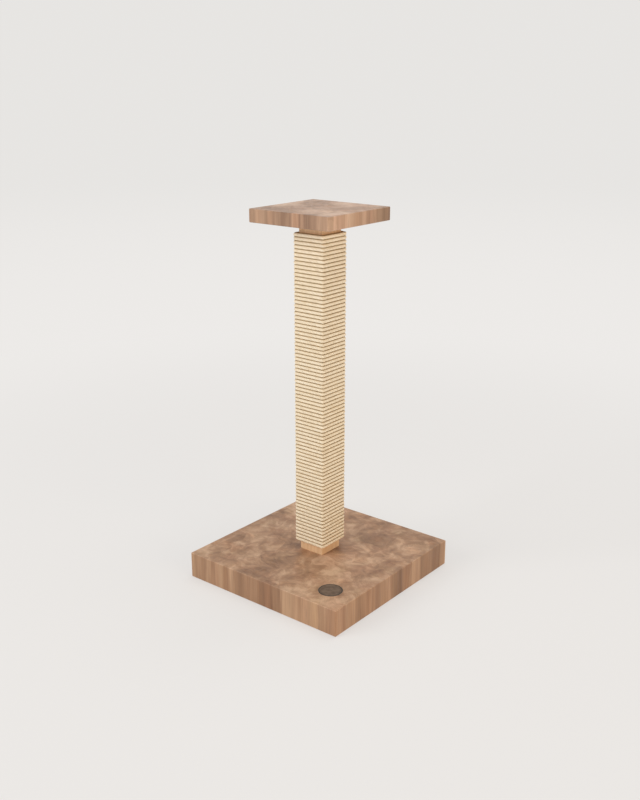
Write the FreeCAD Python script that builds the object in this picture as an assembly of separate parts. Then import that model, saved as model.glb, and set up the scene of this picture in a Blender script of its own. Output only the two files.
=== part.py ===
"""Cat scratching post, in millimetres, +Z up.

A square hardwood post stands on a heavy end-grain block, is wound with sisal rope
and carries a small square plate. The origin is on the floor under the middle of the
block. The block's corner with the inlaid disc points to +X and -Y. The rope is level
on three faces of the post and climbs one pitch a turn on the back face, +Y.
"""
import FreeCAD, Part
import math
import os

from FreeCAD import Vector

# ---- driving dimensions ----
base_side = 400.0
base_thickness = 57.0
base_corner = 2.0               # rounding of the four upright edges
base_easing = 1.0               # bevel round the top and the underside

pad_side = 30.0
pad_thickness = 4.0
pad_proud = 1.0                 # how far the pads stand out of the block
pad_inset = 35.0                # pad centre from the block's sides

disc_diameter = 50.0
disc_thickness = 4.0
disc_proud = 0.5
disc_inset = 60.0               # disc centre from the block's two front sides

post_side = 60.0
post_height = 713.0             # between the block and the plate
post_edge = 1.0                 # rounding of the post's long edges
bare_end = 20.0                 # post left bare at each end of the winding

rope_height = 7.4               # one turn, pressed oval by its neighbours
rope_depth = 8.6
turn_gap = 0.6
glue_line = 0.3                 # between the rope and the post
winding_corner = 4.0            # rounding of the winding's outside, over the post's edges
rope_lengths = 4
tuck_depth = 9.0                # pocket in the post that holds a rope's end
tuck_spacing = 16.0             # between the two ends that meet on the back face

plate_side = 200.0
plate_thickness = 27.0
plate_corner = 2.6              # rounding of the four upright edges
plate_easing = 1.0              # bevel round the top and the underside

bolt_diameter = 10.0
bolt_head_diameter = 16.0
bolt_head_height = 10.0
bolt_socket_width = 8.0         # across the flats
bolt_socket_depth = 5.0
washer_diameter = 24.0
washer_thickness = 2.0
counterbore_margin = 2.0        # round the washer, and below the bolt's head
insert_diameter = 16.0
insert_length = 25.0
insert_relief = 6.0             # bore beyond the insert, for the bolt's tip

base_dowel_diameter = 12.0
base_dowel_length = 60.0
base_dowel_offset = 19.0        # from the middle of the post, along X
plate_dowel_diameter = 10.0
plate_dowel_length = 40.0
plate_dowel_in_plate = 15.0
plate_dowel_offset = 16.0       # from the middle of the post, along X
dowel_end_room = 1.0            # for glue, beyond the dowel's end in the post

fit = 0.3                       # radial clearance of what sits in a bore

# ---- levels and counts that follow ----
base_bottom = pad_proud
base_top = base_bottom + base_thickness
plate_bottom = base_top + post_height
plate_top = plate_bottom + plate_thickness

rope_pitch = rope_height + turn_gap
rope_bottom = base_top + bare_end
turns = int((post_height - 2 * bare_end) / rope_pitch)

counterbore_depth = counterbore_margin + bolt_head_height + washer_thickness
washer_top = base_bottom + counterbore_depth
washer_bottom = washer_top - washer_thickness
bolt_tip = base_top + insert_length

# ---- the rope's centre line, seen from above ----
eighth = math.radians(22.5)                                     # half of an eighth of a turn
bevel_share = 1 - math.tan(eighth)                              # a bevel's cut, of the rounding it stands for
rope_line = post_side / 2 + glue_line + rope_depth / 2          # from the post's axis
inside_corner = post_edge + glue_line                           # rounding of the winding's inside
bevel_start = rope_line - bevel_share * (inside_corner + winding_corner) / 2
corner_slant = 1 - bevel_share * (winding_corner - inside_corner) / rope_depth
level_end = rope_depth / 2 * corner_slant + turn_gap            # level rope before a climb
climb_half = bevel_start - level_end                            # half of the climb's width
climb_slope = -rope_pitch / (2 * climb_half)                    # rise towards +X
tuck_radius = rope_depth / 2 + glue_line
tuck_bevel = tuck_radius * bevel_share
tuck_floor = post_side / 2 - tuck_depth


def cylinder(diameter, bottom, top, x=0.0, y=0.0):
    """An upright cylinder between two levels."""
    return Part.makeCylinder(diameter / 2, top - bottom, Vector(x, y, bottom))


def square_block(side, bottom, top, x=0.0, y=0.0):
    """An upright square prism between two levels."""
    return Part.makeBox(side, side, top - bottom, Vector(x - side / 2, y - side / 2, bottom))


def upright_edges(shape):
    """The edges that run parallel to Z."""
    return [edge for edge in shape.Edges if abs(edge.tangentAt(edge.FirstParameter).z) > 0.99]


def rims(shape):
    """The edges that lie level at the shape's top and bottom."""
    box = shape.BoundBox
    ends = (box.ZMin, box.ZMax)
    return [edge for edge in shape.Edges
            if edge.BoundBox.ZLength < 0.01 and min(abs(edge.BoundBox.ZMin - z) for z in ends) < 0.01]


def eased_block(side, bottom, top, corner, easing):
    """A square prism with rounded upright edges and bevelled rims."""
    block = square_block(side, bottom, top)
    block = block.makeFillet(corner, upright_edges(block))
    return block.makeChamfer(easing, rims(block))


def corners(offset):
    """The four points at plus and minus an offset from the Z axis."""
    return [(side_x * offset, side_y * offset) for side_x in (-1, 1) for side_y in (-1, 1)]


# ---- block, disc and pads ----

pad_offset = base_side / 2 - pad_inset
disc_x = base_side / 2 - disc_inset
disc_y = -disc_x
disc_seat = base_top + disc_proud - disc_thickness
base_dowel_bottom = base_top - base_dowel_length / 2
base_dowel_top = base_dowel_bottom + base_dowel_length
base_dowel_places = [(-base_dowel_offset, 0.0), (base_dowel_offset, 0.0)]


def base_block():
    """The block, bored from below for the bolt and pads and from above for disc and dowels."""
    block = eased_block(base_side, base_bottom, base_top, base_corner, base_easing)
    bores = [
        cylinder(bolt_diameter + 2 * fit, base_bottom, base_top),
        cylinder(washer_diameter + 2 * counterbore_margin, base_bottom, washer_top),
        cylinder(disc_diameter + 2 * fit, disc_seat, base_top, disc_x, disc_y),
    ]
    for x, y in corners(pad_offset):
        bores.append(square_block(pad_side + 2 * fit, base_bottom, pad_thickness, x, y))
    for x, y in base_dowel_places:
        bores.append(cylinder(base_dowel_diameter + 2 * fit, base_dowel_bottom, base_top, x, y))
    return block.cut(bores)


def base_disc():
    """The round inlay, a little proud of the block."""
    return cylinder(disc_diameter, disc_seat, disc_seat + disc_thickness, disc_x, disc_y)


def foot_pad(x, y):
    """One square pad, seated against the floor of its recess."""
    return square_block(pad_side, 0.0, pad_thickness, x, y)


# ---- bolt, washer, insert and dowels ----

def base_bolt():
    """A socket-head bolt from the block's underside into the insert."""
    shank = cylinder(bolt_diameter, washer_bottom, bolt_tip)
    head_bottom = washer_bottom - bolt_head_height
    head = cylinder(bolt_head_diameter, head_bottom, washer_bottom)
    corner = bolt_socket_width / math.sqrt(3)
    hexagon = [Vector(corner * math.cos(side * math.pi / 3), corner * math.sin(side * math.pi / 3), head_bottom)
               for side in range(7)]
    socket = Part.Face(Part.makePolygon(hexagon)).extrude(Vector(0, 0, bolt_socket_depth))
    return shank.fuse(head).cut(socket).removeSplitter()


def base_washer():
    """The washer between the bolt's head and the floor of the counterbore."""
    hole = cylinder(bolt_diameter + 2 * fit, washer_bottom, washer_top)
    return cylinder(washer_diameter, washer_bottom, washer_top).cut(hole)


def post_insert():
    """The threaded insert in the post's lower end, drawn with a plain bore."""
    bore = cylinder(bolt_diameter + 2 * fit, base_top, bolt_tip)
    return cylinder(insert_diameter, base_top, bolt_tip).cut(bore)


def base_dowel(x, y):
    """A dowel, half in the block and half in the post."""
    return cylinder(base_dowel_diameter, base_dowel_bottom, base_dowel_top, x, y)


plate_dowel_top = plate_bottom + plate_dowel_in_plate
plate_dowel_bottom = plate_dowel_top - plate_dowel_length
plate_dowel_places = [(-plate_dowel_offset, 0.0), (plate_dowel_offset, 0.0)]


def plate_dowel(x, y):
    """A glued dowel from the post's upper end into the plate."""
    return cylinder(plate_dowel_diameter, plate_dowel_bottom, plate_dowel_top, x, y)


# ---- post and plate ----

def core_post():
    """The square post, bored for the insert, the dowels and the rope's tucked ends."""
    post = square_block(post_side, base_top, plate_bottom)
    post = post.makeFillet(post_edge, upright_edges(post))
    bores = [
        cylinder(insert_diameter + 2 * fit, base_top, bolt_tip),
        cylinder(bolt_diameter + 2 * fit, base_top, bolt_tip + insert_relief),
    ]
    for x, y in base_dowel_places:
        bores.append(cylinder(base_dowel_diameter + 2 * fit, base_top, base_dowel_top + dowel_end_room, x, y))
    for x, y in plate_dowel_places:
        bottom = plate_dowel_bottom - dowel_end_room
        bores.append(cylinder(plate_dowel_diameter + 2 * fit, bottom, plate_bottom, x, y))
    for first, last in rope_spans():
        bores += [tuck_pocket(first, -1), tuck_pocket(last, 1)]
    return post.cut(bores)


def top_plate():
    """The square plate, with blind holes below for its dowels."""
    plate = eased_block(plate_side, plate_bottom, plate_top, plate_corner, plate_easing)
    bores = [cylinder(plate_dowel_diameter + 2 * fit, plate_bottom, plate_dowel_top, x, y)
             for x, y in plate_dowel_places]
    return plate.cut(bores)


# ---- rope ----

def rope_spans():
    """First turn, and the one after the last, of each rope length."""
    return [(turns * part // rope_lengths, turns * (part + 1) // rope_lengths) for part in range(rope_lengths)]


def turn_level(turn):
    """Height of the centre of a level turn."""
    return rope_bottom + rope_pitch * (turn + 0.5)


def climb_level(turn, x):
    """Height of the rope at x on the back face, where it climbs towards -X up to this turn."""
    return turn_level(turn) + climb_slope * (x + climb_half)


def tuck_pocket(turn, side):
    """The pocket for a rope's end: side is -1 where a length starts, 1 where it ends."""
    middle = side * tuck_spacing / 2
    half_width = rope_depth / 2 + fit
    half_height = rope_height / 2 + fit
    mouth = [Vector(x, post_side / 2, climb_level(turn, x) + rise)
             for x, rise in ((middle - half_width, -half_height), (middle + half_width, -half_height),
                             (middle + half_width, half_height), (middle - half_width, half_height))]
    return flat_face(mouth).extrude(Vector(0, -tuck_depth, 0))


def tuck_stations(turn, side):
    """Stations from the floor of a pocket out to the back face, with the slope of the climb."""
    slant = math.tan(eighth)
    x = side * tuck_spacing / 2
    bend = x + side * tuck_bevel
    return [
        (Vector(x, tuck_floor, climb_level(turn, x)), Vector(-side, 0, 0)),
        (Vector(x, rope_line - tuck_bevel, climb_level(turn, x)), Vector(-side, slant, 0)),
        (Vector(bend, rope_line, climb_level(turn, bend)), Vector(-side * slant, 1, 0)),
    ]


def turn_stations(turn):
    """Stations of one level turn, anticlockwise seen from above, between two climbs.

    The rope is pressed over the post's edges, so its outside turns more tightly there
    than an even thickness would. The slant of the mitres sets both roundings.
    """
    level = turn_level(turn)
    stations = [(Vector(-climb_half, rope_line, level), Vector(0, 1, 0))]
    for quarter in range(4):
        turned = FreeCAD.Rotation(Vector(0, 0, 1), 90 * quarter)
        for point, across in (
            (Vector(-bevel_start, rope_line, level), Vector(-corner_slant, 1, 0)),
            (Vector(-rope_line, bevel_start, level), Vector(-1, corner_slant, 0)),
        ):
            stations.append((turned.multVec(point), turned.multVec(across)))
    stations.append((Vector(climb_half, rope_line, level), Vector(0, 1, 0)))
    return stations


def rope_stations(first, last):
    """Centre points of one rope length, each with the level direction of its mitre.

    The direction lays the rope's depth. It is stretched where two straight runs meet,
    so that both keep their full depth.
    """
    stations = tuck_stations(first, -1)
    for turn in range(first, last):
        stations += turn_stations(turn)
    return stations + tuck_stations(last, 1)[::-1]


def rope_section():
    """Depth and height of the six corners of the rope's section.

    It is an oval of eight sides whose back is pressed flat against the post.
    """
    depth = rope_depth / 2
    height = rope_height / 2
    narrow = math.tan(eighth)
    return [(depth, -height * narrow), (depth, height * narrow), (depth * narrow, height),
            (-depth, height), (-depth, -height), (depth * narrow, -height)]


def flat_face(points):
    """A flat face round the given points."""
    return Part.Face(Part.makePolygon(points + points[:1]))


def rope_length(first, last):
    """One rope length: flat-sided runs between mitres, from one tucked end to the other.

    The rings inside the tucks are sheared like the climb, so every side of the rope is flat.
    """
    tucked = len(tuck_stations(first, -1))
    stations = rope_stations(first, last)
    rings = []
    for place, (point, across) in enumerate(stations):
        in_tuck = place < tucked or place >= len(stations) - tucked
        slope = climb_slope if in_tuck else 0.0
        rings.append([point + across * depth + Vector(0, 0, height + slope * across.x * depth)
                      for depth, height in rope_section()])
    faces = [flat_face(rings[0][::-1]), flat_face(rings[-1])]
    for ring, beyond in zip(rings, rings[1:]):
        for corner in range(len(ring)):
            faces.append(flat_face([ring[corner - 1], ring[corner], beyond[corner], beyond[corner - 1]]))
    return Part.Solid(Part.Shell(faces))


def centre_points(first, last, step):
    """Points at most one step apart along a rope length's centre line."""
    stations = [point for point, across in rope_stations(first, last)]
    points = []
    for start, end in zip(stations, stations[1:]):
        pieces = max(1, math.ceil(start.distanceToPoint(end) / step))
        points += [start + (end - start) * (piece / pieces) for piece in range(pieces)]
    return points + stations[-1:]


def least_gap(first, last):
    """Least gap between the rope's turns, measured between points on its centre line."""
    step = 2.0
    points = centre_points(first, last, step)
    apart = int(2 * rope_line / step)
    around = int(8 * rope_line / step) + apart
    return min(points[start].distanceToPoint(other)
               for start in range(len(points))
               for other in points[start + apart:start + around]) - rope_height


def centre_line_length(first, last):
    """Length of a rope along its centre line."""
    stations = [point for point, across in rope_stations(first, last)]
    return sum(start.distanceToPoint(end) for start, end in zip(stations, stations[1:]))


# ---- all the pieces ----

def build_parts():
    """Every piece under its name."""
    parts = {
        "base_block": base_block(),
        "base_disc": base_disc(),
        "core_post": core_post(),
        "top_plate": top_plate(),
        "base_bolt": base_bolt(),
        "base_washer": base_washer(),
        "post_insert": post_insert(),
    }
    for depth, y in (("front", -pad_offset), ("back", pad_offset)):
        for side, x in (("left", -pad_offset), ("right", pad_offset)):
            parts[f"foot_pad_{depth}_{side}"] = foot_pad(x, y)
    for number, (x, y) in enumerate(base_dowel_places, 1):
        parts[f"base_dowel_{number}"] = base_dowel(x, y)
    for number, (x, y) in enumerate(plate_dowel_places, 1):
        parts[f"plate_dowel_{number}"] = plate_dowel(x, y)
    for number, (first, last) in enumerate(rope_spans(), 1):
        parts[f"rope_length_{number}"] = rope_length(first, last)
    return parts


os.makedirs("parts", exist_ok=True)
for name, shape in build_parts().items():
    shape.exportStep(f"parts/{name}.step")
    print(f"{name}: {len(shape.Solids)} solid, {shape.Volume / 1000:.1f} cm3, valid {shape.isValid()}")

for first, last in rope_spans():
    print(f"turns {first + 1} to {last}: {centre_line_length(first, last) / 1000:.2f} m of rope, "
          f"least gap to itself {least_gap(first, last):.2f} mm")
print(f"{turns} turns, overall height {plate_top:.0f} mm")
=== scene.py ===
"""Looks of the cat scratching post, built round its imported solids, in metres.

The solids of the block, plate, post and fittings keep their shape and get their finishes
here. The disc is turned anew with a low rim, and the rope is laid anew as three twisted
strands along the solids' own route.
"""

import bpy
import numpy as np
from mathutils import Matrix, Vector


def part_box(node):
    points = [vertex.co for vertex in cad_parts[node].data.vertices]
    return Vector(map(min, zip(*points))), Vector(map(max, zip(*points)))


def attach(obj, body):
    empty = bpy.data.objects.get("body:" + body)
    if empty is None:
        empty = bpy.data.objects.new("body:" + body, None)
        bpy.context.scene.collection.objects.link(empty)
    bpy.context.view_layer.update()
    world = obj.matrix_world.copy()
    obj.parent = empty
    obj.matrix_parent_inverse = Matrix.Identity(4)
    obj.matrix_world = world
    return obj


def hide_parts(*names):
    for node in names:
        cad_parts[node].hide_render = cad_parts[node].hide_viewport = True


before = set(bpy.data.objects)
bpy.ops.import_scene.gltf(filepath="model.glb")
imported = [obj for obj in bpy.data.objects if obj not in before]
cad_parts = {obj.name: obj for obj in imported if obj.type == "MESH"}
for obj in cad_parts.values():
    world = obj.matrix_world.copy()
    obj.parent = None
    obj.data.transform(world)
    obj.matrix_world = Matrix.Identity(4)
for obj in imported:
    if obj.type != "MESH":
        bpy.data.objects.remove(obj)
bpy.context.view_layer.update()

MM = 0.001

# ---- sizes read from the solids ----
PLATE_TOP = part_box("top_plate")[1].z
POST_LOW, POST_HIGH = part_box("core_post")
DISC_LOW, DISC_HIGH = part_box("base_disc")
DISC_MIDDLE = (DISC_LOW + DISC_HIGH) / 2
DISC_RADIUS = (DISC_HIGH.x - DISC_LOW.x) / 2
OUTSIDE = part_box("rope_length_1")[1].x      # of the winding, from the post's axis

# ---- the disc's upper side ----
DISC_BEVEL = 0.4 * MM
DISC_RIM = 2.2 * MM                 # from the disc's edge to where the rim starts to fall
DISC_FIELD = 2.8 * MM               # from the disc's edge to the flat field
DISC_FIELD_DROP = 0.3 * MM
DISC_HUB = 1 * MM                   # radius of the flat caps that close the turning
DISC_CORNERS = 128
DISC_CREASE = 0.5                   # edges that turn by more than this angle show sharp

# ---- the winding, as the solids have it ----
ROPE_LENGTHS = ("rope_length_1", "rope_length_2", "rope_length_3", "rope_length_4")
TURNS_PER_LENGTH = 21
PITCH = 8 * MM
ROPE_DEPTH = 8.6 * MM
GLUE_LINE = 0.3 * MM
POST_EDGE = 1 * MM                  # rounding of the post's long edges
BARE_END = 20 * MM
INSIDE_CORNER = POST_EDGE + GLUE_LINE
OUTSIDE_CORNER = 4 * MM
CLIMB_HALF = 28.94 * MM             # half of the width in which the rope climbs, on the back face
TUCK_X = 8 * MM                     # from the post's middle to the end that is tucked in
TUCK_RADIUS = ROPE_DEPTH / 2 + GLUE_LINE
TUCK_DEPTH = 9 * MM
INSIDE = OUTSIDE - ROPE_DEPTH
ROPE_LINE = (INSIDE + OUTSIDE) / 2
ROPE_BOTTOM = POST_LOW.z + BARE_END

# ---- three-strand rope ----
STRANDS = 3
LAY = 25 * MM                       # one twist of the strands, along the rope
STRAND_OFFSET = 0.20                # strand centres from the rope's, as a share of its radius
FULLNESS = 1.10                     # how far the rope is pressed against the turns beside it
SQUARENESS = 0.8                    # 1 is an oval, less is squarer
TURN_ROOM = 0.02 * MM               # between the rope and the middle of the gap to the next turn
DRIFT = 0.04                        # how far the lay wanders, in twists
DRIFT_WAVES = (0.073, 0.19, 0.47)
SWELL = 0.015                       # how far each strand swells and thins, as a share of its radius
SWELL_WAVES = (0.017, 0.045, 0.11)
ROUGHNESS = 0.006                   # of the rope's surface, as a share of its radius
ANY_PHASE = 6.3                     # about a full circle
FIBRE_TWIST = 0.8                   # how far the fibres follow the lay

# ---- stations and corners of the rope's mesh ----
RING_CORNERS = 24
RUN_STATIONS = 19                   # on half a side of the post
CORNER_STATIONS = 5
POCKET_STATIONS = 8                 # in a pocket, below its bend
BEND_STATIONS = 7

# ---- painted shade in the seams between turns, by the height on the turn ----
SEAM_SHADE_ABOVE = 1.14
SEAM_SHADE_POWER = 1.4
SEAM_SHADE_BELOW = 0.82

# ---- camera, solved from the photograph's straight edges ----
CAMERA_PLACE = Vector((1.25510, -1.55514, 1.05067))
CAMERA_YAW = 0.679147
CAMERA_PITCH = 0.3158196
CAMERA_LENS = 45.04
CAMERA_REACH = 100.0


# ---------------------------------------------------------------- shader maths

class Socket:
    """A number in a material's node tree. Python's arithmetic on it adds Math nodes."""

    def __init__(self, material, output):
        self.material = material
        self.output = output

    def _math(self, operation, *values):
        settings = {"operation": operation}
        return self.material.node("ShaderNodeMath", settings, dict(enumerate(values)))

    def __add__(self, other):
        return self._math("ADD", self, other)

    def __radd__(self, other):
        return self._math("ADD", other, self)

    def __sub__(self, other):
        return self._math("SUBTRACT", self, other)

    def __rsub__(self, other):
        return self._math("SUBTRACT", other, self)

    def __mul__(self, other):
        return self._math("MULTIPLY", self, other)

    def __rmul__(self, other):
        return self._math("MULTIPLY", other, self)

    def __pow__(self, power):
        return self._math("POWER", self, power)

    def __abs__(self):
        return self._math("ABSOLUTE", self)

    def sine(self):
        return self._math("SINE", self)


class Finish:
    """A material with a Principled shader, whose other nodes are added by one method."""

    def __init__(self, name, **constants):
        self.material = bpy.data.materials.new(name)
        self.material.use_nodes = True
        self.tree = self.material.node_tree
        self.shader = self.tree.nodes["Principled BSDF"]
        for socket, value in constants.items():
            label = socket.replace("_", " ").title().replace("Ior", "IOR")
            self.shader.inputs[label].default_value = value

    def node(self, kind, settings=None, inputs=None, output=0):
        """A node of this kind with its settings, then its sockets' values or links."""
        added = self.tree.nodes.new(kind)
        for name, value in (settings or {}).items():
            if name == "stops":
                self._set_stops(added.color_ramp, value)
            else:
                setattr(added, name, value)
        for socket, value in (inputs or {}).items():
            if isinstance(value, Socket):
                self.tree.links.new(value.output, added.inputs[socket])
            else:
                added.inputs[socket].default_value = value
        return Socket(self, added.outputs[output])

    @staticmethod
    def _set_stops(ramp, stops):
        while len(ramp.elements) < len(stops):
            ramp.elements.new(1.0)
        for element, (place, colour) in zip(ramp.elements, stops):
            element.position = place
            element.color = (*colour, 1.0)

    def place(self):
        """The point on the piece, in its own metres."""
        return self.node("ShaderNodeTexCoord", output="Object")

    def parts(self, vector):
        """The X, Y and Z of a vector."""
        split = self.node("ShaderNodeSeparateXYZ", inputs={0: vector}).output.node
        return [Socket(self, output) for output in split.outputs]

    def reach(self, vector):
        """Distance of a point from the Z axis."""
        x, y = self.parts(vector)[:2]
        return (x * x + y * y) ** 0.5

    def stretched(self, vector, scale):
        """A vector multiplied by three numbers."""
        return self.node("ShaderNodeVectorMath", {"operation": "MULTIPLY"}, {0: vector, 1: scale})

    def shifted(self, vector, amount):
        """A vector with another added."""
        return self.node("ShaderNodeVectorMath", {"operation": "ADD"}, {0: vector, 1: amount})

    def noise(self, vector, scale, detail=3.0, roughness=0.5, distortion=0.0, output=0):
        """Clouded noise, as a number about 0.5 or as a colour."""
        inputs = {"Vector": vector, "Scale": scale, "Detail": detail,
                  "Roughness": roughness, "Distortion": distortion}
        return self.node("ShaderNodeTexNoise", {}, inputs, output)

    def cells(self, vector, scale, output="Distance"):
        """Distance to the points of a Voronoi pattern, or a colour of each cell's own."""
        return self.node("ShaderNodeTexVoronoi", {}, {"Vector": vector, "Scale": scale}, output)

    def ramp(self, factor, low, high, to_low=0.0, to_high=1.0):
        """A smooth step of the factor between two values."""
        inputs = {"Value": factor, "From Min": low, "From Max": high, "To Min": to_low, "To Max": to_high}
        return self.node("ShaderNodeMapRange", {"interpolation_type": "SMOOTHSTEP"}, inputs)

    def mix(self, factor, first, second, blend="MIX"):
        """Two colours mixed. A colour is a socket or three linear numbers."""
        inputs = {0: factor}
        for socket, colour in ((6, first), (7, second)):
            inputs[socket] = colour if isinstance(colour, Socket) else (*colour, 1.0)
        return self.node("ShaderNodeMix", {"data_type": "RGBA", "blend_type": blend}, inputs, output=2)

    def tones(self, factor, stops):
        """The colour that lies at the factor, on a ramp through colours at these places."""
        return self.node("ShaderNodeValToRGB", {"stops": stops}, {"Fac": factor})

    def set(self, socket, value):
        """Links one of the shader's sockets that may vary over the surface."""
        self.tree.links.new(value.output, self.shader.inputs[socket])

    def bump(self, height, distance, strength=1.0):
        """Raises the surface by height times distance, in metres."""
        inputs = {"Height": height, "Distance": distance, "Strength": strength}
        self.set("Normal", self.node("ShaderNodeBump", {}, inputs))


# ---------------------------------------------------------------- woods

# Linear colours of each wood, from its darkest stretches to its palest
BLOCK_TONES = ((0.232, 0.121, 0.063), (0.392, 0.224, 0.128), (0.590, 0.378, 0.238))
PLATE_TONES = ((0.245, 0.141, 0.086), (0.405, 0.253, 0.168), (0.590, 0.404, 0.287))
POST_TONES = ((0.66, 0.41, 0.22), (0.81, 0.545, 0.32))
DOWEL_TONES = ((0.50, 0.34, 0.20), (0.68, 0.51, 0.34))

# Painted shading on the upright sides, which they are multiplied by: the block's sides darker and the plate's
# warmer than the tops, as the light falls on them
BLOCK_SIDE_SHADING = (0.84, 0.785, 0.71)
PLATE_SIDE_SHADING = (1.05, 1.00, 0.92)

# Where each piece is cut from the wood's endless figure
BLOCK_CUT = (-0.03, -0.03, 0.0)
PLATE_CUT = (-1.03, -8.23, -0.741)
POST_CUT = (0.2, 0.5, 0.0)
DOWEL_CUT = (0.6, 0.1, 0.0)

PLATE_HEART = (0.12, 0.10, 0.055)   # X, Y and radius of the plate's heartwood
HEART_TINT = (0.60, 0.57, 0.50)
PITH_AWAY = (0.0, 0.5, 0.0)         # from the tree's middle to the figure's
PORE = (0.13, 0.075, 0.045)

# Soft tints in the end grain: a shift of the figure, the scale of the clouds, where they
# set in and are full, their strength and the colour that they multiply by
WOOD_TINTS = {
    "rose": ((0.0, 0.0, 0.0), 20.0, (0.46, 0.66), 0.40, (1.05, 0.95, 0.94)),
    "orange": ((0.4, 0.9, 0.0), 24.0, (0.50, 0.70), 0.40, (1.08, 0.97, 0.84)),
    "olive": ((0.7, 0.2, 0.0), 22.0, (0.52, 0.70), 0.35, (0.91, 0.96, 0.87)),
}


def growth_rings(finish, figure, clouds):
    """Coarse and fine growth rings round a pith beyond the piece, which the clouds bend.

    They are sines of the distance from the pith.
    """
    reach = finish.reach(finish.shifted(figure, PITH_AWAY))
    coarse = (reach * 230.0 + clouds * 20.0).sine()
    fine = (reach * 1750.0 + clouds * 90.0).sine()
    return coarse * 0.010 + fine * 0.010


def with_tints(finish, colour, figure):
    """The colour with each soft tint in its own part of the figure."""
    for shift, scale, (sets_in, full), strength, tint in WOOD_TINTS.values():
        clouds = finish.noise(finish.shifted(figure, shift), scale, detail=2.0)
        colour = finish.mix(finish.ramp(clouds, sets_in, full, 0.0, strength), colour, tint, "MULTIPLY")
    return colour


def with_heart(finish, colour, heart, clouds, upright):
    """The colour with a darker round of heartwood, stronger on the sides, with a bent soft edge."""
    x, y, radius = heart
    away = finish.reach(finish.shifted(finish.place(), (-x, -y, 0.0))) + (clouds - 0.5) * 0.05
    inside = finish.ramp(away, radius * 0.8, radius * 1.1, 1.0, 0.0)
    return finish.mix(inside * (0.15 + upright * 0.45), colour, HEART_TINT, "MULTIPLY")


def end_grain(name, tones, side_shading, cut, roughness, heart=None):
    """Oiled end-grain hardwood: clouds, zones and faint rings that run through the thickness.

    The figure hardly changes with height, so on the sides it shows as upright bands, which
    a painted shading multiplies: the block's sides darker and the plate's warmer than the
    tops, as the light falls on them. Each scale of noise has its share of the tone.
    """
    dark, middle, light = tones
    finish = Finish(name, specular_ior_level=0.5)
    place = finish.shifted(finish.place(), cut)
    flat = finish.stretched(place, (1.0, 1.0, 0.05))
    swirl = finish.noise(flat, 9.0, detail=3.0, output="Color")
    figure = finish.shifted(flat, finish.stretched(swirl, (0.06, 0.06, 0.0)))

    clouds = finish.noise(figure, 14.0, detail=2.0)
    patches = finish.noise(figure, 42.0, detail=3.0, roughness=0.55, distortion=0.8)
    mottle = finish.noise(figure, 105.0, detail=2.0, distortion=0.5)
    flecks = finish.noise(figure, 190.0, detail=3.0, roughness=0.6)
    zones = finish.parts(finish.cells(figure, 21.0, "Color"))[0]
    tone = clouds * 0.42 + patches * 0.33 + mottle * 0.12 + flecks * 0.04 + zones * 0.09
    tone = tone + growth_rings(finish, figure, clouds)
    colour = finish.tones(tone, [(0.37, dark), (0.49, middle), (0.61, light)])

    colour = with_tints(finish, colour, figure)
    facing = finish.parts(finish.node("ShaderNodeNewGeometry", output="Normal"))
    upright = finish.ramp(abs(facing[2]), 0.3, 0.8, 1.0, 0.0)
    # painted shading: the upright sides multiplied darker or warmer than the tops, by the block's and plate's
    # own factors
    colour = finish.mix(upright, colour, side_shading, "MULTIPLY")
    if heart:
        colour = with_heart(finish, colour, heart, clouds, upright)

    eyes = finish.ramp(finish.cells(figure, 40.0), 0.04, 0.18, 0.5, 0.0)
    colour = finish.mix(eyes * finish.ramp(patches, 0.45, 0.6), colour, dark)
    long = finish.stretched(place, (1.0, 1.0, 0.02))
    pores = finish.ramp(finish.cells(long, 640.0), 0.12, 0.32, 1.0, 0.0)
    pores = pores * finish.ramp(finish.noise(long, 90.0), 0.38, 0.58)
    finish.set("Base Color", finish.mix(pores * 0.55, colour, PORE))
    finish.set("Roughness", finish.ramp(flecks, 0.3, 0.7, roughness - 0.08, roughness + 0.10))
    finish.bump(flecks * 0.35 - pores * 0.5, 0.05 * MM, 0.6)
    return finish.material


def straight_grain(name, tones, cut):
    """Sanded wood with upright grain: faint growth lines, streaks and pores."""
    dark, light = tones
    finish = Finish(name, roughness=0.55, specular_ior_level=0.4)
    place = finish.stretched(finish.shifted(finish.place(), cut), (1.0, 1.0, 0.035))
    bends = finish.noise(place, 14.0, detail=2.0)
    streaks = finish.noise(place, 110.0, detail=4.0, roughness=0.6)
    hairs = finish.noise(place, 620.0, detail=3.0, roughness=0.6)
    x, y = finish.parts(place)[:2]
    lines = ((x + y * 0.35) * 620.0 + bends * 30.0).sine() * 0.5 + 0.5
    tone = lines * 0.08 + streaks * 0.56 + hairs * 0.36
    colour = finish.mix(finish.ramp(tone, 0.30, 0.70), light, dark)
    pores = finish.ramp(finish.cells(place, 900.0), 0.08, 0.26, 1.0, 0.0)
    pore = tuple(part * 0.5 for part in dark)
    finish.set("Base Color", finish.mix(pores * 0.15, colour, pore))
    finish.bump(hairs * 0.6 - pores * 0.4, 0.08 * MM, 0.7)
    return finish.material


# ---------------------------------------------------------------- sisal, metals and rubber

FIBRE_TONES = [(0.34, (0.640, 0.470, 0.285)), (0.44, (0.865, 0.715, 0.512)),
               (0.55, (0.955, 0.838, 0.655)), (0.68, (0.980, 0.910, 0.765))]
HANDLED = (0.96, 0.92, 0.84)
# Painted shade: in the valleys between the strands, and in the seams between turns
STRAND_VALLEY_SHADE = (0.60, 0.43, 0.25)
SEAM_SHADE = (0.52, 0.355, 0.165)
SEAM_DEEP_SHADE = (0.22, 0.130, 0.050)
DARK_FIBRE = (0.46, 0.31, 0.16)

BRONZE_TONES = ((0.100, 0.066, 0.046), (0.175, 0.122, 0.086))
BRONZE_RIM = (0.055, 0.045, 0.036)
BRONZE_WORN = (0.30, 0.235, 0.175)
ZINC_TONES = ((0.46, 0.47, 0.49), (0.62, 0.63, 0.65))
BRASS_TONES = ((0.56, 0.40, 0.18), (0.74, 0.56, 0.28))
RUBBER_BLACK = (0.022, 0.022, 0.023)
DUST = (0.10, 0.095, 0.09)


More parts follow.
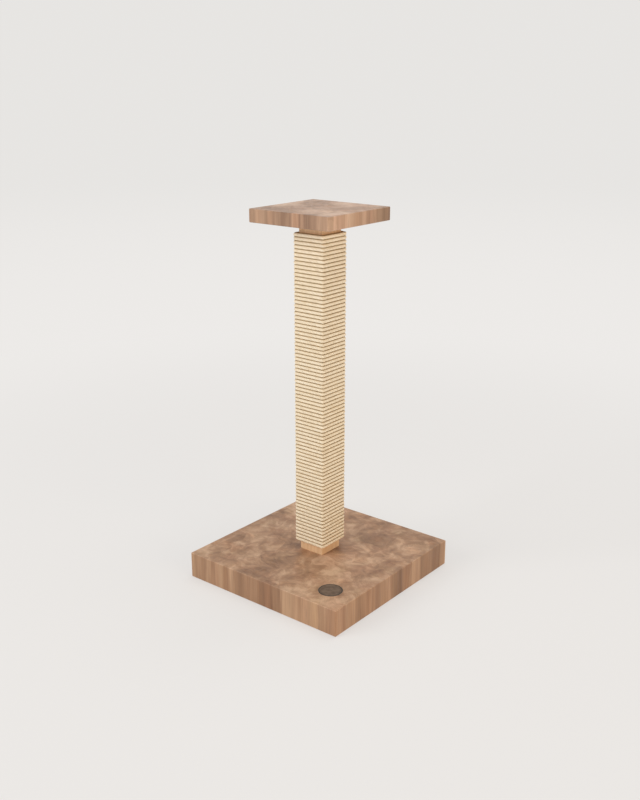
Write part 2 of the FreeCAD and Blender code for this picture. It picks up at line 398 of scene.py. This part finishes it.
def sisal(name):
    """Sisal rope: pale fibres along it, with painted shade between the strands and in the seams where turns
    touch.

    The UV map holds metres along the rope and metres round it. Two attributes say how
    near a point is to a strand's crest, and how deep it lies in the seams between turns.
    """
    finish = Finish(name, roughness=0.8, specular_ior_level=0.3)
    surface = finish.node("ShaderNodeUVMap", {"uv_map": "rope"})
    crest = finish.node("ShaderNodeAttribute", {"attribute_name": "crest"}, output="Fac")
    # how strong the painted shade in the seams between turns is at each point
    seam = finish.node("ShaderNodeAttribute", {"attribute_name": "seam"}, output="Fac")

    def drawn_out(along, around, detail, roughness=0.5):
        """Noise drawn out along the rope, by its scales per metre along it and round it."""
        stretched = finish.stretched(surface, (along, around, 1.0))
        return finish.noise(stretched, 1.0, detail=detail, roughness=roughness)

    fibres = drawn_out(150.0, 3600.0, 3.0, 0.65)
    yarns = drawn_out(50.0, 900.0, 2.0)
    lengths = drawn_out(9.0, 150.0, 2.0)
    hairs = drawn_out(70.0, 3200.0, 1.0)
    age = finish.noise(finish.place(), 9.0, detail=3.0)

    colour = finish.tones(fibres * 0.48 + yarns * 0.34 + lengths * 0.18, FIBRE_TONES)
    colour = finish.mix(finish.ramp(age, 0.42, 0.66, 0.0, 0.3), colour, HANDLED, "MULTIPLY")
    # painted shade in the valleys between the strands
    colour = finish.mix(finish.ramp(crest, 0.0, 0.6, 0.15, 0.0), colour, STRAND_VALLEY_SHADE)
    # painted shade in the seams between turns, darkest deep where the turns meet
    colour = finish.mix(finish.ramp(seam, 0.38, 0.84, 0.0, 0.66), colour, SEAM_SHADE)
    colour = finish.mix(finish.ramp(seam, 0.78, 1.0, 0.0, 0.78), colour, SEAM_DEEP_SHADE)
    colour = finish.mix(finish.ramp(hairs, 0.60, 0.72, 0.0, 0.5), colour, DARK_FIBRE)
    finish.set("Base Color", colour)
    finish.bump(fibres * 0.8 + yarns * 0.5 + hairs * 0.4, 0.5 * MM, 0.9)
    return finish.material


def dark_bronze(name):
    """Patinated metal, turned in fine rings: the rim is darker, its outer edge rubbed brighter."""
    finish = Finish(name, metallic=0.2, specular_ior_level=0.35)
    radius = finish.reach(finish.shifted(finish.place(), tuple(-DISC_MIDDLE)))
    rings = (radius * 9000.0).sine() * 0.5 + 0.5
    cloud = finish.noise(finish.place(), 90.0, detail=4.0)
    wear = finish.noise(finish.stretched(finish.place(), (0.4, 1.0, 1.0)), 260.0, detail=3.0)
    rim = finish.ramp(radius, DISC_RADIUS - DISC_FIELD, DISC_RADIUS - DISC_RIM)
    edge = finish.ramp(radius, DISC_RADIUS - 1.5 * DISC_BEVEL, DISC_RADIUS - 0.5 * DISC_BEVEL)
    worn = edge * finish.ramp(wear, 0.40, 0.70, 0.1, 0.6)
    colour = finish.mix(finish.ramp(cloud, 0.35, 0.68), *BRONZE_TONES)
    colour = finish.mix(rim, colour, BRONZE_RIM)
    finish.set("Base Color", finish.mix(worn, colour, BRONZE_WORN))
    finish.set("Roughness", 0.44 + cloud * 0.2 - worn * 0.15)
    finish.bump(rings * 0.4 + cloud * 0.6, 0.03 * MM, 0.6)
    return finish.material


def plain_metal(name, tones, roughness):
    """Plated or plain metal with fine tool marks."""
    finish = Finish(name, metallic=1.0)
    marks = finish.noise(finish.stretched(finish.place(), (1.0, 1.0, 9.0)), 420.0, detail=3.0)
    finish.set("Base Color", finish.mix(marks, *tones))
    finish.set("Roughness", roughness + marks * 0.2)
    finish.bump(marks, 0.02 * MM, 0.5)
    return finish.material


def rubber(name):
    """Matt black rubber with a fine moulded grain and a trace of dust."""
    finish = Finish(name, specular_ior_level=0.3)
    grain = finish.noise(finish.place(), 1500.0, detail=2.0)
    dust = finish.ramp(finish.noise(finish.place(), 60.0, detail=4.0), 0.45, 0.75)
    finish.set("Base Color", finish.mix(dust * 0.35, RUBBER_BLACK, DUST))
    finish.set("Roughness", 0.72 + dust * 0.18)
    finish.bump(grain, 0.06 * MM, 0.7)
    return finish.material


# ---------------------------------------------------------------- meshes

def grid_mesh(name, points):
    """A closed mesh over a grid of points: rows along it, columns round it, flat end caps.

    Seen from the first row towards the last, the columns run anticlockwise, and every
    face points outwards.
    """
    rows, columns = points.shape[:2]
    row = np.arange(rows - 1)[:, None]
    column = np.arange(columns)[None, :]
    beyond = (column + 1) % columns
    quads = np.stack([row * columns + column, (row + 1) * columns + column,
                      (row + 1) * columns + beyond, row * columns + beyond], axis=-1).reshape(-1, 4)
    caps = [np.arange(columns), (rows - 1) * columns + np.arange(columns)[::-1]]
    corners = np.concatenate([quads.ravel(), *caps])
    sizes = np.concatenate([np.full(len(quads), 4), np.full(2, columns)])
    starts = np.concatenate([[0], np.cumsum(sizes)[:-1]])
    mesh = bpy.data.meshes.new(name)
    mesh.vertices.add(rows * columns)
    mesh.vertices.foreach_set("co", points.reshape(-1).astype(np.float32))
    mesh.loops.add(len(corners))
    mesh.loops.foreach_set("vertex_index", corners.astype(np.int32))
    mesh.polygons.add(len(sizes))
    mesh.polygons.foreach_set("loop_start", starts.astype(np.int32))
    mesh.polygons.foreach_set("use_smooth", np.ones(len(sizes), dtype=bool))
    mesh.update(calc_edges=True)
    mesh.validate()
    return mesh


def add_piece(name, mesh, material):
    """Puts a finished mesh into the scene as a piece that rides on the part."""
    piece = bpy.data.objects.new(name, mesh)
    bpy.context.scene.collection.objects.link(piece)
    mesh.materials.append(material)
    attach(piece, "root")
    return piece


def turned_disc():
    """The inlay, turned about its upright axis: a flat field, a low rim and a bevelled edge.

    The profile gives distances from the axis and heights, from the middle of the underside
    over the edge to the middle of the field, and is carried round the circle.
    """
    low, high = DISC_LOW.z, DISC_HIGH.z
    field = high - DISC_FIELD_DROP
    rounding = 0.3 * DISC_BEVEL
    slope = (DISC_RIM + DISC_FIELD) / 2
    profile = np.array([
        (DISC_HUB, low),
        (DISC_RADIUS, low),
        (DISC_RADIUS, high - DISC_BEVEL),
        (DISC_RADIUS - rounding, high - rounding),
        (DISC_RADIUS - DISC_BEVEL, high),
        (DISC_RADIUS - DISC_RIM, high),
        (DISC_RADIUS - slope, high - DISC_FIELD_DROP / 3),
        (DISC_RADIUS - DISC_FIELD, field),
        (DISC_HUB, field),
    ])
    angle = np.linspace(0.0, 2 * np.pi, DISC_CORNERS, endpoint=False)[None, :]
    across, height = profile[:, :1], profile[:, 1:]
    points = np.stack([DISC_MIDDLE.x + across * np.cos(angle), DISC_MIDDLE.y - across * np.sin(angle),
                       np.broadcast_to(height, (len(profile), angle.size))], axis=-1)
    mesh = grid_mesh("turned_disc", points)
    mesh.set_sharp_from_angle(angle=DISC_CREASE)
    return mesh


# ---------------------------------------------------------------- the rope's route

def turn_plan():
    """One turn seen from above, anticlockwise from the middle of the back face.

    The winding's inside and outside are squares with roundings of their own. Each station
    joins a point of one to a point of the other, at the same share of the straight runs
    and at the same angle round the corners. Gives the middle of each station, and half
    the step from inside to outside.
    """
    share = np.linspace(0.0, 1.0, RUN_STATIONS, endpoint=False)
    angle = np.linspace(0.0, np.pi / 2, CORNER_STATIONS, endpoint=False)
    quarter_turn = np.array([[0.0, 1.0], [-1.0, 0.0]])
    rails = []
    for reach, corner in ((INSIDE, INSIDE_CORNER), (OUTSIDE, OUTSIDE_CORNER)):
        straight = reach - corner
        into = np.stack([-straight * share, np.full_like(share, reach)], axis=1)
        bend = np.stack([-straight - corner * np.sin(angle), straight + corner * np.cos(angle)], axis=1)
        out = np.stack([np.full_like(share, -reach), straight * (1 - share)], axis=1)
        side = np.concatenate([into, bend, out])
        sides = [side @ np.linalg.matrix_power(quarter_turn, times) for times in range(4)]
        rails.append(np.concatenate(sides))
    inside, outside = rails
    return (inside + outside) / 2, (outside - inside) / 2


def tuck_plan():
    """The tucked start of a rope seen from above: X and Y of its stations, and half its depth.

    From the pocket's floor it runs straight to the mouth, then bends in a quarter circle
    into the back face.
    """
    mouth = ROPE_LINE - TUCK_RADIUS
    deep = np.linspace(POST_HIGH.y - TUCK_DEPTH, mouth, POCKET_STATIONS, endpoint=False)
    angle = np.concatenate([np.zeros_like(deep), np.linspace(0.0, np.pi / 2, BEND_STATIONS)])
    x = -TUCK_X - TUCK_RADIUS + TUCK_RADIUS * np.cos(angle)
    y = np.concatenate([deep, mouth + TUCK_RADIUS * np.sin(angle[len(deep):])])
    depth = np.column_stack([np.cos(angle), np.sin(angle), np.zeros_like(angle)]) * ROPE_DEPTH / 2
    return x, y, depth


def turn_level(turn):
    """Height of the centre of a level turn."""
    return ROPE_BOTTOM + PITCH * (turn + 0.5)


def climb(x):
    """How far the rope lies under the turn that it climbs to, at x on the back face."""
    return -PITCH * (np.clip(x / CLIMB_HALF, -1.0, 1.0) + 1.0) / 2


def rope_route(first):
    """Centre line of the rope length whose first turn has this number, and its half depths.

    The turns are level, and on the back face the height follows the climb. The first turn
    starts, and the last one ends, at the bend into its pocket.
    """
    plan, half = turn_plan()
    turn = np.repeat(np.arange(TURNS_PER_LENGTH), len(plan))
    late = np.tile(np.arange(len(plan)) >= len(plan) // 2, TURNS_PER_LENGTH)
    flat = np.tile(plan, (TURNS_PER_LENGTH, 1))
    on_back = flat[:, 1] > CLIMB_HALF
    height = turn_level(first + turn) + np.where(on_back, climb(flat[:, 0]) + PITCH * late, 0.0)
    bend_at = TUCK_X + TUCK_RADIUS
    before = on_back & (turn == 0) & ~late & (flat[:, 0] > -bend_at)
    after = on_back & (turn == TURNS_PER_LENGTH - 1) & late & (flat[:, 0] < bend_at)
    kept = ~(before | after)
    line = np.column_stack([flat, height])[kept]
    depth = np.column_stack([np.tile(half, (TURNS_PER_LENGTH, 1)), np.zeros(len(flat))])[kept]

    x, y, tuck = tuck_plan()
    start = np.column_stack([x, y, turn_level(first) + climb(x)])
    end = np.column_stack([-x, y, turn_level(first + TURNS_PER_LENGTH) + climb(-x)])
    mirrored = tuck * np.array([-1.0, 1.0, 1.0])
    return np.concatenate([start, line, end[::-1]]), np.concatenate([tuck, depth, mirrored[::-1]])


# ---------------------------------------------------------------- the rope's strands

def strand_outline(phase):
    """Radius of three round strands laid together, as a share of the rope's own radius.

    Each strand is a circle set off the centre. The radius to it is the far root of the
    circle's equation along the given direction.
    """
    radius = 1 - STRAND_OFFSET
    turned = (phase + np.pi / STRANDS) % (2 * np.pi / STRANDS) - np.pi / STRANDS
    return STRAND_OFFSET * np.cos(turned) + np.sqrt(radius ** 2 - (STRAND_OFFSET * np.sin(turned)) ** 2)


def pressed(wave):
    """A sine or cosine made squarer, for a rope pressed between its neighbours."""
    return np.sign(wave) * np.abs(wave) ** SQUARENESS


def wander(along, waves, random):
    """The mean of sines of these wavelengths along the rope, each begun at random."""
    return sum(np.sin(2 * np.pi * along / wave + random.uniform(0, ANY_PHASE)) for wave in waves) / len(waves)


def twisted_outline(along, smooth, phase, seed):
    """The rope's outline at every station: how far each corner lies aside and above, as shares.

    The strands' outline turns with a lay that drifts a little. Each strand swells and
    thins on its way, and the surface is slightly rough. The result is made squarer, and
    flat where it meets the post and the turns above and below.
    """
    random = np.random.default_rng(seed)
    drift = wander(along, DRIFT_WAVES, random)
    swell = np.stack([wander(along, SWELL_WAVES, random) for _ in range(STRANDS)], axis=1)
    rough = random.normal(0.0, ROUGHNESS, (len(along), RING_CORNERS))
    strand = (np.arange(RING_CORNERS) * STRANDS) // RING_CORNERS
    turning = phase[None, :] - 2 * np.pi * (along / LAY + DRIFT * drift)[:, None]
    outline = smooth[None, :] * (1 + SWELL * swell[:, strand]) + rough
    aside = np.clip(outline * pressed(np.cos(turning)), -1.0, 1.0)
    above = np.clip(outline * pressed(np.sin(turning)) * FULLNESS, -1.0, 1.0)
    return aside, above


def add_shades(mesh, smooth, above):
    """Two attributes for the finish: how near a strand's crest, and how strong the painted shade in the seams
    between turns.

    The painted shade in the seams is stronger on the turn's upper side, which hides less of the seams from
    above.
    """
    valley = smooth.min()
    crest = np.broadcast_to((smooth - valley) / (1 - valley), above.shape)
    # painted shade in the seams, stronger on the turn's upper side
    on_top = np.minimum(SEAM_SHADE_ABOVE * np.abs(above) ** SEAM_SHADE_POWER, 1.0)
    seam = np.where(above > 0, on_top, -SEAM_SHADE_BELOW * above)
    for shade, values in (("crest", crest), ("seam", seam)):
        attribute = mesh.attributes.new(shade, "FLOAT", "POINT")
        attribute.data.foreach_set("value", values.reshape(-1).astype(np.float32))


def add_rope_map(mesh, along, shift):
    """A UV map in metres along the rope and round it, which follows the fibres' twist."""
    row = np.repeat(np.arange(len(along) - 1), RING_CORNERS)[:, None] + np.array([0, 1, 1, 0])
    column = np.tile(np.arange(RING_CORNERS), len(along) - 1)[:, None] + np.array([0, 0, 1, 1])
    angle = column * 2 * np.pi / RING_CORNERS - FIBRE_TWIST * 2 * np.pi * along[row] / LAY
    uv = np.zeros((len(mesh.loops), 2))
    uv[:row.size] = np.stack([along[row].ravel(), angle.ravel() * ROPE_DEPTH / 2 + shift], axis=1)
    mesh.uv_layers.new(name="rope").data.foreach_set("uv", uv.ravel().astype(np.float32))


def lay_rope(name, first, seed):
    """One rope length: the strands' outline carried along the route, square to it.

    Aside is measured by the route's half depth, and above by half the pitch of the turns.
    """
    line, depth = rope_route(first)
    along = np.concatenate([[0.0], np.cumsum(np.linalg.norm(np.diff(line, axis=0), axis=1))])
    heading = np.gradient(line, axis=0)
    heading /= np.linalg.norm(heading, axis=1, keepdims=True)
    upward = np.array([0.0, 0.0, 1.0]) - heading * heading[:, 2:3]
    upward /= np.linalg.norm(upward, axis=1, keepdims=True)

    phase = np.pi / STRANDS + np.arange(RING_CORNERS) * 2 * np.pi / RING_CORNERS
    smooth = strand_outline(phase)
    aside, above = twisted_outline(along, smooth, phase, seed)
    half_height = PITCH / 2 - TURN_ROOM
    points = (line[:, None, :] + depth[:, None, :] * aside[..., None]
              + upward[:, None, :] * (above * half_height)[..., None])
    mesh = grid_mesh(name, points)
    add_shades(mesh, smooth, above)
    add_rope_map(mesh, along, seed)
    return mesh


# ---------------------------------------------------------------- surroundings

WHITE = (1.0, 1.0, 1.0)
BACKDROP = (0.80, 0.785, 0.765)
FLOOR = (0.845, 0.825, 0.805)
AMBIENT = 0.42

FLOOR_REACH = 30.0
FLOOR_GLOW = 0.58                   # share of the floor's own light near the part
SHADOW_FADES = (0.5, 2.2)           # distances between which the shadows fade out
HORIZON = (2.0, 9.0)                # distances between which the floor turns to the backdrop's colour

# Place, size, watts and colour of each square soft lamp
LAMPS = {
    "key": ((-2.4, -4.95, 2.8), 3.6, 172.0, WHITE),
    "fill": ((5.1, -0.9, 1.2), 2.7, 94.0, (1.0, 0.82, 0.61)),
    "top": ((0.3, 0.6, 3.6), 2.0, 40.0, WHITE),
}


def add_floor():
    """A wide pale floor that keeps soft shadows near the part and is the backdrop's colour beyond."""
    mesh = bpy.data.meshes.new("floor")
    corners = [(x * FLOOR_REACH, y * FLOOR_REACH, 0) for x, y in ((-1, -1), (1, -1), (1, 1), (-1, 1))]
    mesh.from_pydata(corners, [], [(0, 1, 2, 3)])
    floor = bpy.data.objects.new("floor", mesh)
    bpy.context.scene.collection.objects.link(floor)
    finish = Finish("floor", base_color=(*FLOOR, 1.0), roughness=0.9, specular_ior_level=0.1)
    distance = finish.reach(finish.place())
    away = finish.ramp(distance, *SHADOW_FADES, FLOOR_GLOW, 1.0)
    colour = finish.mix(finish.ramp(distance, *HORIZON), FLOOR, BACKDROP)
    glow = finish.node("ShaderNodeEmission", {}, {"Color": colour, "Strength": 1.0})
    shaded = Socket(finish, finish.shader.outputs[0])
    mixed = finish.node("ShaderNodeMixShader", {}, {0: away, 1: shaded, 2: glow})
    finish.tree.links.new(mixed.output, finish.tree.nodes["Material Output"].inputs["Surface"])
    mesh.materials.append(finish.material)


def add_world():
    """Even pale light from all round. The camera, gloss and glass see the backdrop's colour instead."""
    world = bpy.data.worlds.new("studio")
    bpy.context.scene.world = world
    world.use_nodes = True
    nodes = world.node_tree.nodes
    links = world.node_tree.links
    seen = nodes.new("ShaderNodeBackground")
    seen.inputs["Color"].default_value = (*BACKDROP, 1.0)
    lit = nodes["Background"]
    lit.inputs["Color"].default_value = (*WHITE, 1.0)
    lit.inputs["Strength"].default_value = AMBIENT
    path = nodes.new("ShaderNodeLightPath")
    backdrop_seen = path.outputs["Is Camera Ray"]
    for kind in ("Is Glossy Ray", "Is Transmission Ray"):
        either = nodes.new("ShaderNodeMath")
        either.operation = "MAXIMUM"
        links.new(backdrop_seen, either.inputs[0])
        links.new(path.outputs[kind], either.inputs[1])
        backdrop_seen = either.outputs[0]
    mixed = nodes.new("ShaderNodeMixShader")
    links.new(backdrop_seen, mixed.inputs[0])
    links.new(lit.outputs[0], mixed.inputs[1])
    links.new(seen.outputs[0], mixed.inputs[2])
    links.new(mixed.outputs[0], nodes["World Output"].inputs["Surface"])


def add_lamp(name, place, size, power, colour):
    """A square soft lamp that faces the middle of the part."""
    data = bpy.data.lights.new(name, "AREA")
    data.shape = "SQUARE"
    data.size = size
    data.energy = power
    data.color = colour
    lamp = bpy.data.objects.new(name, data)
    lamp.location = place
    aim = Vector((0.0, 0.0, PLATE_TOP / 2)) - Vector(place)
    lamp.rotation_euler = aim.to_track_quat("-Z", "Y").to_euler()
    bpy.context.scene.collection.objects.link(lamp)


def add_camera():
    """The photograph's camera: turned by its yaw, then tipped down by its pitch."""
    data = bpy.data.cameras.new("camera")
    data.lens = CAMERA_LENS
    data.clip_end = CAMERA_REACH
    camera = bpy.data.objects.new("camera", data)
    turned = Matrix.Rotation(CAMERA_YAW, 4, "Z") @ Matrix.Rotation(np.pi / 2 - CAMERA_PITCH, 4, "X")
    camera.matrix_world = Matrix.Translation(CAMERA_PLACE) @ turned
    bpy.context.scene.collection.objects.link(camera)
    bpy.context.scene.camera = camera


def add_surroundings():
    """Camera, floor, world and lamps, with colours shown as they are written."""
    add_camera()
    add_floor()
    add_world()
    for name, (place, size, power, colour) in LAMPS.items():
        add_lamp(name, place, size, power, colour)
    bpy.context.scene.view_settings.view_transform = "Standard"


# ---------------------------------------------------------------- the part

def dress(material, *names):
    """Gives a finish to solids that keep their shape."""
    for name in names:
        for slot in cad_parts[name].material_slots:
            slot.material = material


def finish_woods():
    """The block and plate in end grain, the post and dowels in straight grain."""
    dress(end_grain("block_wood", BLOCK_TONES, BLOCK_SIDE_SHADING, BLOCK_CUT, 0.48), "base_block")
    dress(end_grain("plate_wood", PLATE_TONES, PLATE_SIDE_SHADING, PLATE_CUT, 0.44, PLATE_HEART), "top_plate")
    dress(straight_grain("post_wood", POST_TONES, POST_CUT), "core_post")
    dress(straight_grain("dowel_wood", DOWEL_TONES, DOWEL_CUT),
          "base_dowel_1", "base_dowel_2", "plate_dowel_1", "plate_dowel_2")


def finish_fittings():
    """The disc, the bolt with its washer and insert, and the pads."""
    disc = add_piece("turned_disc", turned_disc(), dark_bronze("disc_metal"))
    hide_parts("base_disc")
    dress(plain_metal("zinc_steel", ZINC_TONES, 0.28), "base_bolt", "base_washer")
    dress(plain_metal("insert_brass", BRASS_TONES, 0.30), "post_insert")
    dress(rubber("pad_rubber"), "foot_pad_front_left", "foot_pad_front_right",
          "foot_pad_back_left", "foot_pad_back_right")


def wind_rope():
    """The rope lengths, from the block upwards, each with a seed of its own."""
    rope_finish = sisal("sisal")
    for number, node in enumerate(ROPE_LENGTHS):
        mesh = lay_rope(f"laid_{node}", number * TURNS_PER_LENGTH, number + 1)
        piece = add_piece(f"laid_{node}", mesh, rope_finish)
        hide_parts(node)


add_surroundings()
finish_woods()
finish_fittings()
wind_rope()
